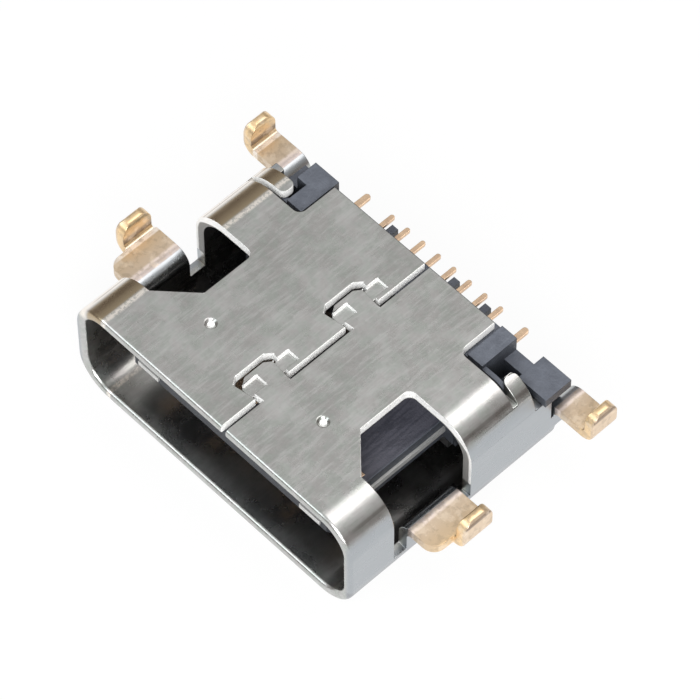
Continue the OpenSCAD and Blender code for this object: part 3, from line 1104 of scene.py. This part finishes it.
@dataclass
class Shell:
    """The folded sheet shell with its seam, windows and four solder legs."""

    sheet: bpy.types.Material
    sheared: bpy.types.Material
    # The tube: its outside, its sheet, the radii of its bends and the length of its two wide sides
    half_w: float = 4.44
    top_z: float = 1.55
    wall: float = 0.27
    outer_r: float = 0.97
    inner_r: float = 0.70
    rim_r: float = 0.10
    top_len: float = 6.25
    side_len: float = 6.35
    # The legs: the board they lie on, their folds, how far out and up they reach
    board_z: float = 0.20
    fold_in: float = 0.15
    tip_in: float = 0.08
    leg_out: float = 1.19
    tip_h: float = 0.67
    tip_r: float = 0.33
    crest_r: float = 0.12
    front: Leg = field(default_factory=lambda: Leg((1.71, 3.23), (2.30, 3.17), 0.34))
    rear: Leg = field(default_factory=lambda: Leg((6.27, 7.05), (6.27, 7.05), 0.0))
    strip_z: float = 0.3
    # The windows over the front legs, and the reliefs beside those legs
    win_x: float = 2.50
    win_y: Span = (1.33, 3.68)
    win_slant: Span = (0.90, 0.84)
    corner_r: float = 0.2
    relief_z: float = -0.6665
    relief_up: float = 0.3
    # The rear corners: where they are cut away, and the hook left in each, left and right
    notch: Span = (2.562, 5.15)
    hook_x: Span = (3.22, 3.72)
    hook_y: Span = (5.28, 5.68)
    hook_r: float = 0.16
    slit_z: float = 1.13
    ledge_z: float = 0.66
    step_y: float = 6.20
    # The seam, and its two locking tabs: along the seam, across and along, flare and corners
    seam_x: float = 0.42
    seam_gap: float = 0.14
    lock_y: Span = (1.56, 4.30)
    lock_size: Span = (0.74, 0.96)
    lock_flare: float = 0.05
    lock_ease: float = 0.13
    # The pockets that pin the tabs: across, along and deep, and how far off the tab's corner
    stake: Triple = (0.33, 0.46, 0.1)
    stake_shift: Span = (0.01, 0.2)
    # The dimples: out, along and radius. Then radius and height of the balls that press them
    dimple: Triple = (1.798, 1.72, 0.19)
    dimple_up: float = 0.12
    # The deeper middle is cut in the near-white cut-edge finish, as a painted highlight
    dimple_core: Span = (0.11, 0.02)
    dimple_back: Span = (0.25, 0.18)
    # Cutting blocks: where the ones for the rear edge and the seam start inside the hollow tube,
    # how far the ones for tabs and pockets reach past them, and how far others reach sideways
    trim_z: float = 0.3
    seam_z: float = 0.5
    tab_reach: float = 0.5
    stake_reach: float = 0.2
    far: float = 2.0
    side_lap: float = 0.1
    # How wide sharp edges are eased, and how many faces make each bend
    eased: float = 0.022
    ease_steps: int = 2
    rim_steps: int = 4
    bend_steps: int = 24
    bore_steps: int = 20
    corner_steps: int = 8
    hook_steps: int = 6
    fold_steps: int = 10
    tip_steps: int = 9

    def build(self) -> bpy.types.Object:
        """Models the shell in millimetres.

        Returns:
            The shell, ready to be finished.
        """
        shell = self._tube()
        self._rear_waste(shell)
        for side in Side:
            self._dimple_back(shell, side)
            self._window(shell, side)
            self._rear_corner(shell, side)
        self._rear_edge(shell)
        self._seam(shell)
        self._stakes(shell)
        for side in Side:
            self._dimple(shell, side)
        merge_close(shell, NEAR)
        for side in Side:
            self._leg(shell, side, self.front)
            self._leg(shell, side, self.rear)
        self._paint_legs(shell)
        ease_edges(shell, self.eased, self.ease_steps)
        return shell

    @property
    def fold_z(self) -> float:
        """Height at which the legs start to fold out."""
        return self.board_z - self.fold_in - self.wall

    def _tube(self) -> bpy.types.Object:
        """The plain tube with its rounded rim.

        Returns:
            The tube.
        """
        half = (self.half_w, self.top_z)
        shell = round_tube("shell", half, (0, self.rear.y[1]), self.outer_r, self.bend_steps)
        shell.data.materials.append(self.sheet)
        half = (self.half_w - self.wall, self.top_z - self.wall)
        ends = (-PAST, self.side_len + 2 * PAST)
        bore = round_tube("bore", half, ends, self.inner_r, self.bore_steps)
        combine(shell, bore, Join.CUT, self.sheet)

        def on_rim(edge: bmesh.types.BMEdge) -> bool:
            """Says whether an edge bounds the flat front of the rim.

            Args:
                edge: the edge.

            Returns:
                True if it does.
            """
            level = all(abs(vertex.co.y) < NEAR for vertex in edge.verts)
            fronts = [abs(face.normal.y) > FLAT for face in edge.link_faces]
            return level and any(fronts) and not all(fronts)

        round_edges(shell, self.rim_r, self.rim_steps, on_rim)
        return shell

    def _dimple_back(self, shell: bpy.types.Object, side: Side) -> None:
        """Raises the low bump that a pressed dimple leaves inside.

        Args:
            shell: the shell.
            side: which side is worked on.
        """
        x, y, _ = self.dimple
        radius, up = self.dimple_back
        bump = ball("bump", (side.value * x, y, self.top_z - self.wall + up), radius)
        level = (0, 0, self.top_z - self.wall / 2)
        with editing(bump, Pick.FACES):
            bpy.ops.mesh.select_all(action="SELECT")
            bpy.ops.mesh.bisect(
                plane_co=level, plane_no=(0, 0, 1), clear_outer=True, use_fill=True
            )
        combine(shell, bump, Join.ADD, self.sheet)

    def _rear_waste(self, shell: bpy.types.Object) -> None:
        """Shortens the tube, leaving the two strips that carry the rear legs.

        Args:
            shell: the shell.
        """
        reach = (-self.half_w - PAST, self.half_w + PAST)
        waste = block("waste", reach, (self.side_len, self.rear.y[1] + PAST), reach)
        for side in Side:
            x = self._wall_span(side, self.side_lap)
            y = (self.side_len - PAST, self.rear.y[1] + 2 * PAST)
            combine(waste, block("keep", x, y, (self.relief_z, self.strip_z)), Join.CUT)
        combine(shell, waste, Join.CUT, self.sheared)

    def _wall_span(self, side: Side, past: float) -> Span:
        """X of the inner and outer face of one side wall, and a little inwards and past it."""
        inner = self.half_w - self.wall - self.side_lap
        return between_ends(side.value * inner, side.value * (self.half_w + past))

    def _window(self, shell: bpy.types.Object, side: Side) -> None:
        """Opens the leg window and the two reliefs beside the front leg.

        Args:
            shell: the shell.
            side: which side is worked on.
        """
        y0, y1 = self.win_y
        x0, x1 = self.win_x, self.half_w + self.far
        slant_x, slant_y = self.win_slant
        outline = [(x0, y0 + slant_y), (x0 + slant_x, y0), (x1, y0), (x1, y1), (x0, y1)]
        outline = [(side.value * x, y) for x, y in outline]
        window = prism("window", outline, (self.fold_z, self.top_z + PAST))
        round_edges(window, self.corner_r, self.corner_steps, upright_at(x0, y1))
        combine(shell, window, Join.CUT, self.sheared)
        x = self._wall_span(side, PAST)
        for y in ((y0, self.front.y[0]), (self.front.y[1], y1)):
            relief = block("relief", x, y, (self.relief_z, self.fold_z + self.relief_up))
            combine(shell, relief, Join.CUT, self.sheet)

    def _rear_corner(self, shell: bpy.types.Object, side: Side) -> None:
        """Cuts the rear corner away around its hook, and steps the side wall down.

        Args:
            shell: the shell.
            side: which side is worked on.
        """
        x0, y0 = self.notch
        x1 = self.half_w + self.far
        back = self.side_len + PAST
        outline = [(side.value * x, y) for x, y in ((x0, y0), (x1, y0), (x1, back), (x0, back))]
        notch = prism("notch", outline, (self.slit_z, self.top_z + PAST))
        notch.data.materials.append(self.sheared)
        round_edges(notch, self.corner_r, self.corner_steps, upright_at(x0, y0))
        # The left hook's walls take the near-white cut-edge finish as a painted highlight; the
        # right hook's walls, which lie in shade, take the darker sheet finish.
        if side is Side.LEFT:
            hook_x, walls = self.hook_x[0], self.sheared
        else:
            hook_x, walls = self.hook_x[1], self.sheet
        reach = between_ends(side.value * hook_x, side.value * (x1 + PAST))
        hook = block("hook", reach, self.hook_y, (0.0, self.top_z + 2 * PAST))
        round_edges(hook, self.hook_r, self.hook_steps, upright_at(hook_x))
        combine(notch, hook, Join.CUT, walls)
        # The notch floor and the steps take the sheet finish rather than the near-white one, for
        # the shade between the side wall and the housing.
        finish_floor(notch, self.sheared, self.sheet)
        combine(shell, notch, Join.CUT)
        for near_x, front, levels in (
            (hook_x, self.hook_y[1], (self.ledge_z, self.slit_z + CLOSE)),
            (self.half_w - self.outer_r, self.step_y, (self.fold_z, self.ledge_z + CLOSE)),
        ):
            x = between_ends(side.value * near_x, side.value * x1)
            combine(shell, block("step", x, (front, back), levels), Join.CUT, self.sheet)

    def _rear_edge(self, shell: bpy.types.Object) -> None:
        """Trims the seam side a little shorter than the smooth side.

        Args:
            shell: the shell.
        """
        x = self.notch[0] + CLOSE
        y = (self.top_len, self.side_len + PAST)
        trim = block("trim", (-x, x), y, (self.trim_z, self.top_z + PAST))
        combine(shell, trim, Join.CUT, self.sheared)

    def _lock_outline(self, y: float, grow: float) -> Outline:
        """Corners of a locking tab, made larger or smaller all round.

        Args:
            y: the middle of the tab.
            grow: how far its sides move out.

        Returns:
            The corners, from the seam's right side round to it again.
        """
        width, length = self.lock_size
        right = self.seam_x + self.seam_gap / 2
        left = self.seam_x - width - grow
        half = length / 2 + grow
        neck, flare, ease = half - self.lock_flare, half + self.lock_flare, self.lock_ease
        return [
            (right, y - neck), (self.seam_x - grow, y - neck), (left + ease, y - flare),
            (left, y - half + ease), (left, y + half - ease), (left + ease, y + flare),
            (self.seam_x - grow, y + neck), (right, y + neck),
        ]

    def _seam(self, shell: bpy.types.Object) -> None:
        """Cuts the seam: straight runs, and a gap round each locking tab.

        Args:
            shell: the shell.
        """
        half = self.seam_gap / 2
        levels = (self.seam_z, self.top_z + PAST)
        neck = self.lock_size[1] / 2 - self.lock_flare
        stops = [-PAST]
        for y in self.lock_y:
            stops += [y - neck, y + neck]
        stops.append(self.side_len + PAST)
        x = (self.seam_x - half, self.seam_x + half)
        for ends in zip(stops[0::2], stops[1::2]):
            combine(shell, block("run", x, ends, levels), Join.CUT, self.sheared)
        for y in self.lock_y:
            gap = prism("gap", self._lock_outline(y, half), levels)
            reach = self.tab_reach
            tab = self._lock_outline(y, -half)
            tab = [(at + reach if at > x[1] - NEAR else at, along) for at, along in tab]
            tall = (levels[0] - PAST, levels[1] + PAST)
            combine(gap, prism("tab", tab, tall), Join.CUT, self.sheared)
            for floor in self._stake_blocks(y, (tall[0] - PAST, self.top_z - self.stake[2])):
                combine(gap, floor, Join.CUT, self.sheet)
            combine(shell, gap, Join.CUT)

    def _stake_blocks(self, y: float, levels: Span) -> list[bpy.types.Object]:
        """Adds blocks over the footprints of a lock's two stake pockets.

        Args:
            y: the middle of the locking tab.
            levels: bottom and top of the blocks.

        Returns:
            The blocks, front one first.
        """
        width, length, _ = self.stake
        middle_x = self.seam_x - self.lock_size[0] / 2 + self.stake_shift[0]
        x = (middle_x - width / 2, middle_x + width / 2)
        ends = [y + end * self.lock_size[1] / 2 + self.stake_shift[1] for end in (-1, 1)]
        return [block("stake", x, (at - length / 2, at + length / 2), levels) for at in ends]

    def _stakes(self, shell: bpy.types.Object) -> None:
        """Punches the pockets that pin the ends of the locking tabs.

        Args:
            shell: the shell.
        """
        levels = (self.top_z - self.stake[2], self.top_z + self.stake_reach)
        for y in self.lock_y:
            for punch in self._stake_blocks(y, levels):
                finish_floor(punch, self.sheared, self.sheet)
                combine(shell, punch, Join.CUT)

    def _dimple(self, shell: bpy.types.Object, side: Side) -> None:
        """Presses one round dimple with a deeper, rougher middle into the seam side; the middle's
        near-white cut-edge finish is a painted highlight.

        Args:
            shell: the shell.
            side: which side is worked on.
        """
        x, y, radius = self.dimple
        core_r, core_up = self.dimple_core
        for size, up, material in (
            (radius, self.dimple_up, self.sheet), (core_r, core_up, self.sheared),
        ):
            press = ball("dimple", (side.value * x, y, self.top_z + up), size)
            combine(shell, press, Join.CUT, material)

    def _leg(self, shell: bpy.types.Object, side: Side, leg: Leg) -> None:
        """Folds one leg out of the side wall and turns its tip up.

        Args:
            shell: the shell.
            side: which side the leg is on.
            leg: the leg's sizes.
        """
        sign = side.value
        outer = self.half_w + self.leg_out
        fold_x = sign * (self.half_w + self.fold_in)
        curl_x = sign * (outer - self.wall - self.tip_in)
        curl_z = self.board_z + self.tip_in
        y0, y1 = leg.y
        tip0, tip1 = leg.tip_y

        def on_stub(face: bmesh.types.BMFace) -> bool:
            """Says whether a face is the top of the leg's stub.

            Args:
                face: the face.

            Returns:
                True if it is.
            """
            at = face.calc_center_median()
            level = face.normal.z > FLAT and abs(at.z - self.fold_z) < CLOSE
            here = y0 - self.side_lap < at.y < y1 + self.side_lap
            return level and here and sign * at.x > self.half_w - self.wall

        def at_end(face: bmesh.types.BMFace, start: float, end: float) -> bool:
            """Says whether a face is on the free end of the flat plate.

            Args:
                face: the face.
                start: where along the socket the wanted part of the end starts.
                end: where it ends.

            Returns:
                True if it is.
            """
            at = face.calc_center_median()
            upright = sign * face.normal.x > FLAT and abs(at.x - curl_x) < CLOSE
            return upright and start < at.y < end

        with editing(shell, Pick.FACES):
            pick(shell, Pick.FACES, on_stub)
            bpy.ops.mesh.bisect(plane_co=(0, y0, 0), plane_no=(0, 1, 0))
            pick(
                shell, Pick.FACES,
                lambda face: on_stub(face) and face.calc_center_median().y > y0,
            )
            bpy.ops.mesh.spin(
                steps=self.fold_steps, dupli=False, angle=-sign * math.pi / 2,
                center=(fold_x, (y0 + y1) / 2, self.fold_z), axis=(0, 1, 0),
            )
            step = {"value": (curl_x - fold_x, 0, 0)}
            bpy.ops.mesh.extrude_region_move(TRANSFORM_OT_translate=step)
            for y in (tip0, tip1):
                if y0 + NEAR < y < y1 - NEAR:
                    pick(shell, Pick.FACES, lambda face: at_end(face, y0, y1))
                    bpy.ops.mesh.bisect(plane_co=(0, y, 0), plane_no=(0, 1, 0))
            pick(shell, Pick.FACES, lambda face: at_end(face, tip0 - NEAR, tip1 + NEAR))
            bpy.ops.mesh.spin(
                steps=self.corner_steps, dupli=False, angle=sign * math.pi / 2,
                center=(curl_x, (tip0 + tip1) / 2, curl_z), axis=(0, 1, 0),
            )
            self._raise_tip(side, leg, self.board_z + self.tip_h - curl_z)
        if leg.ear_r:
            self._round_ear(shell, leg, curl_x)

    def _raise_tip(self, side: Side, leg: Leg, rise: float) -> None:
        """Draws the picked end of a leg up, rounding the tip's corners and its crest on the way.

        Args:
            side: which side the leg is on.
            leg: the leg's sizes.
            rise: how far the crest stands above the curl.
        """
        full = leg.tip_y[1] - leg.tip_y[0]
        out = self.half_w + self.leg_out - self.wall / 2
        centre = (side.value * out, sum(leg.tip_y) / 2, 0)
        step = {"value": (0, 0, rise - self.tip_r)}
        bpy.ops.mesh.extrude_region_move(TRANSFORM_OT_translate=step)
        level, length, width = 0.0, full, self.wall
        for count in range(1, self.tip_steps + 1):
            turn = count / self.tip_steps * math.pi / 2
            height = self.tip_r * math.sin(turn)
            new_length = full - 2 * self.tip_r * (1 - math.cos(turn))
            climb = max(0.0, 1 - (self.tip_r - height) / self.crest_r)
            new_width = self.wall - 2 * self.crest_r * (1 - math.sqrt(1 - climb**2))
            step = {"value": (0, 0, height - level)}
            bpy.ops.mesh.extrude_region_move(TRANSFORM_OT_translate=step)
            bpy.ops.transform.resize(
                value=(new_width / width, new_length / length, 1), center_override=centre
            )
            level, length, width = height, new_length, new_width

    def _round_ear(self, shell: bpy.types.Object, leg: Leg, curl_x: float) -> None:
        """Rounds the free corner of the plate's ear.

        Args:
            shell: the shell.
            leg: the leg's sizes.
            curl_x: X at which the plate ends.
        """

        def ear_corner(edge: bmesh.types.BMEdge) -> bool:
            """Says whether an edge is the upright free corner of the plate's ear.

            Args:
                edge: the edge.

            Returns:
                True if it is.
            """
            at = middle(edge)
            here = abs(at.x - curl_x) < NEAR and abs(at.y - leg.y[0]) < NEAR
            return here and at.z < self.board_z and runs_along(edge, 2)

        round_edges(shell, leg.ear_r, self.corner_steps, ear_corner)

    def _paint_legs(self, shell: bpy.types.Object) -> None:
        """Gives every face of the legs the plated finish.

        Args:
            shell: the shell.
        """
        for face in shell.data.polygons:
            if abs(face.center.x) > self.half_w + CLOSE:
                face.material_index = 0


# ---------------------------------------------------------------- carried-over solids
@dataclass
class SoftenedCopy:
    """A detailed copy of a frame solid: merged, cleared of flat seams and eased at its edges."""

    name: str
    material: bpy.types.Material
    width: float = 0.015
    steps: int = 2
    merge: float = 0.0008
    flat_seam: float = math.radians(0.8)

    def build(self, source: bpy.types.Object) -> bpy.types.Object:
        """Copies and softens the solid.

        Args:
            source: the frame's object.

        Returns:
            The copy, in millimetres.
        """
        mesh = source.data.copy()
        mesh.transform(Matrix.Scale(1 / MM, 4))
        mesh.materials.clear()
        mesh.materials.append(self.material)
        piece = bpy.data.objects.new(self.name, mesh)
        bpy.context.scene.collection.objects.link(piece)
        if mesh.has_custom_normals:
            focus(piece)
            bpy.ops.mesh.customdata_custom_splitnormals_clear()
        with editing(piece, Pick.EDGES):
            bpy.ops.mesh.select_all(action="SELECT")
            bpy.ops.mesh.remove_doubles(threshold=self.merge)
            bpy.ops.mesh.dissolve_limited(angle_limit=self.flat_seam)
        ease_edges(piece, self.width, self.steps)
        return piece


# ---------------------------------------------------------------- stage
@dataclass(frozen=True)
class Lamp:
    """A square softbox that faces the socket."""

    name: str
    towards: Triple
    away: float
    size: float
    radiance: float
    colour: Colour

    def build(self, target: Vector) -> None:
        """Hangs the lamp in its place.

        Args:
            target: the point that it faces, in millimetres.
        """
        lamp = bpy.data.lights.new(self.name, "AREA")
        lamp.shape = "SQUARE"
        lamp.size = self.size * MM
        lamp.energy = self.radiance * math.pi * (self.size * MM) ** 2
        lamp.color = self.colour
        holder = bpy.data.objects.new(self.name, lamp)
        bpy.context.scene.collection.objects.link(holder)
        direction = Vector(self.towards).normalized()
        holder.location = (target + direction * self.away) * MM
        holder.rotation_euler = direction.to_track_quat("Z", "Y").to_euler()


@dataclass
class Stage:
    """Floor, lamps, sky and camera."""

    floor_z: float = -1.55
    floor_side: float = 2000.0
    floor_tone: Colour = (0.92, 0.92, 0.92)
    floor_glow: float = 0.93
    sky: tuple[tuple[float, Colour], ...] = (
        (0.0, (0.20, 0.175, 0.165)),
        (0.30, (0.21, 0.185, 0.175)),
        (0.62, (0.46, 0.45, 0.44)),
        (0.82, (0.64, 0.64, 0.63)),
        (1.0, (0.80, 0.81, 0.82)),
    )
    lamps: tuple[Lamp, ...] = (
        Lamp("key", (0.12, 0.38, 0.915), 130.0, 72.0, 2.1, (1.0, 0.965, 0.95)),
        Lamp("front", (0.63, -0.54, 0.56), 150.0, 110.0, 6.0, (0.99, 1.0, 1.0)),
        Lamp("rim", (-0.38, -0.70, 0.60), 150.0, 80.0, 2.2, (0.90, 0.97, 1.0)),
    )
    azimuth: float = 46.3382
    elevation: float = 56.4759
    roll: float = -0.29673
    distance: float = 114.0628
    target: Triple = (0.08935, 4.16831, -0.05)
    sensor: float = 36.0
    lens: float = 261.564377

    def build(self) -> None:
        """Sets up everything that isn't part of the socket."""
        self._floor()
        self._sky()
        for lamp in self.lamps:
            lamp.build(Vector(self.target))
        self._camera()
        bpy.context.scene.view_settings.view_transform = "Standard"

    def _floor(self) -> None:
        """Adds the pale floor, which shows white and keeps a soft shadow."""
        bpy.ops.object.select_all(action="DESELECT")
        place = (0, 0, self.floor_z * MM)
        bpy.ops.mesh.primitive_plane_add(size=self.floor_side * MM, location=place)
        floor = bpy.context.object
        floor.name = floor.data.name = "floor"
        with editing(floor, Pick.FACES):
            bpy.ops.mesh.select_all(action="SELECT")
            bpy.ops.mesh.subdivide(number_cuts=3)
        made = bpy.data.materials.new("pale_floor")
        made.use_nodes = True
        made.node_tree.nodes.clear()
        graph = Graph(made.node_tree)
        matt = graph.node("BsdfDiffuse", {"Color": self.floor_tone}).outputs[0]
        white = {"Color": (1.0, 1.0, 1.0), "Strength": 1.0}
        glow = graph.node("Emission", white).outputs[0]
        rays = graph.node("LightPath").outputs
        seen = graph.math("MAXIMUM", rays["Is Camera Ray"], rays["Is Glossy Ray"])
        seen = graph.math("MAXIMUM", seen, rays["Is Transmission Ray"])
        share = graph.times(seen, self.floor_glow)
        mixed = graph.node("MixShader", {0: share, 1: matt, 2: glow}).outputs[0]
        graph.node("OutputMaterial", {"Surface": mixed})
        floor.data.materials.append(made)

    def _sky(self) -> None:
        """Adds a sky that is darkest and warm near the horizon and palest overhead."""
        world = bpy.data.worlds.new("studio")
        bpy.context.scene.world = world
        world.use_nodes = True
        graph = Graph(world.node_tree)
        direction = graph.node("TexCoord").outputs["Generated"]
        up = graph.node("SeparateXYZ", {0: direction}).outputs[2]
        back = world.node_tree.nodes["Background"]
        graph.put(back.inputs["Color"], graph.ramp(up, self.sky))
        graph.put(back.inputs["Strength"], 1.0)

    def _camera(self) -> None:
        """Adds the camera and makes it the scene's."""
        angles = (self.azimuth, self.elevation, self.roll)
        turn, rise, roll = (math.radians(angle) for angle in angles)
        level = math.cos(rise)
        back = Vector((math.sin(turn) * level, -math.cos(turn) * level, math.sin(rise)))
        right = Vector((math.cos(turn), math.sin(turn), 0))
        up = back.cross(right)
        across = right * math.cos(roll) + up * math.sin(roll)
        upright = up * math.cos(roll) - right * math.sin(roll)
        camera = bpy.data.cameras.new("camera")
        camera.sensor_width = self.sensor
        camera.lens = self.lens
        camera.clip_start = 0.001
        camera.clip_end = 10
        holder = bpy.data.objects.new("camera", camera)
        bpy.context.scene.collection.objects.link(holder)
        pose = Matrix((across, upright, back)).transposed().to_4x4()
        pose.translation = (Vector(self.target) + back * self.distance) * MM
        holder.matrix_world = pose
        bpy.context.scene.camera = holder


# ---------------------------------------------------------------- whole socket
@dataclass
class Socket:
    """The whole socket, built around the frame's nodes."""

    nodes: dict[str, bpy.types.Object]
    effects: SharedEffects
    sheet: SheetFinish = SheetFinish()
    sheared: CutEdgeFinish = CutEdgeFinish()
    slate: MouldedFinish = MouldedFinish(
        "slate_plastic", (0.090, 0.100, 0.124), (0.125, 0.138, 0.168), (0.22, 0.235, 0.27)
    )
    carrier: MouldedFinish = MouldedFinish(
        "carrier_plastic", (0.052, 0.053, 0.070), (0.060, 0.061, 0.080), (0.12, 0.12, 0.15), 0.45
    )
    steel: PlatedFinish = PlatedFinish(
        "bare_steel", (0.66, 0.655, 0.645), (0.58, 0.575, 0.565), (0.35, 0.50), 0.6, 0.001
    )
    dull: PlatedFinish = PlatedFinish(
        "dull_steel", (0.34, 0.34, 0.35), (0.26, 0.26, 0.27), (0.35, 0.50), 1.0, 0.001
    )
    gold: PlatedFinish = PlatedFinish(
        "gold_contact", (0.86, 0.63, 0.43), (0.70, 0.50, 0.35), (0.25, 0.40), 0.8
    )

    def build(self) -> None:
        """Builds and dresses every piece in order."""
        shell = Shell(self.sheet.build(self.effects), self.sheared.build(self.effects)).build()
        finish_piece(shell, "shell_visual", "shell")
        carrier, dull = self.carrier.build(self.effects), self.dull.build(self.effects)
        kept = {
            "housing": self.slate.build(self.effects),
            "upper_insert": carrier,
            "lower_insert": carrier,
            "mid_plate": self.steel.build(self.effects),
            "emi_collar_upper": dull,
            "emi_collar_lower": dull,
        }
        for node, material in kept.items():
            self._dress(node, material)
        gold = self.gold.build(self.effects)
        for node in sorted(self.nodes):
            if node.startswith("contact"):
                name = node + "_visual"
                copy = SoftenedCopy(name, gold).build(self.nodes[node])
                finish_piece(copy, name, node)

    def _dress(self, node: str, material: bpy.types.Material) -> None:
        """Gives a frame solid that keeps its own shape a detailed finish.

        Args:
            node: the solid's name in the frame.
            material: its finish.
        """
        for slot in self.nodes[node].material_slots:
            slot.material = material
        LOG.info("%s: kept as it is, finished as %s", node, material.name)


def main() -> None:
    """Loads the frame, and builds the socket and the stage."""
    logging.basicConfig(level=logging.INFO, format="%(name)s %(message)s")
    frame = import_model()
    Socket(frame["nodes"], SharedEffects()).build()
    Stage().build()


if __name__ == "__main__":
    main()
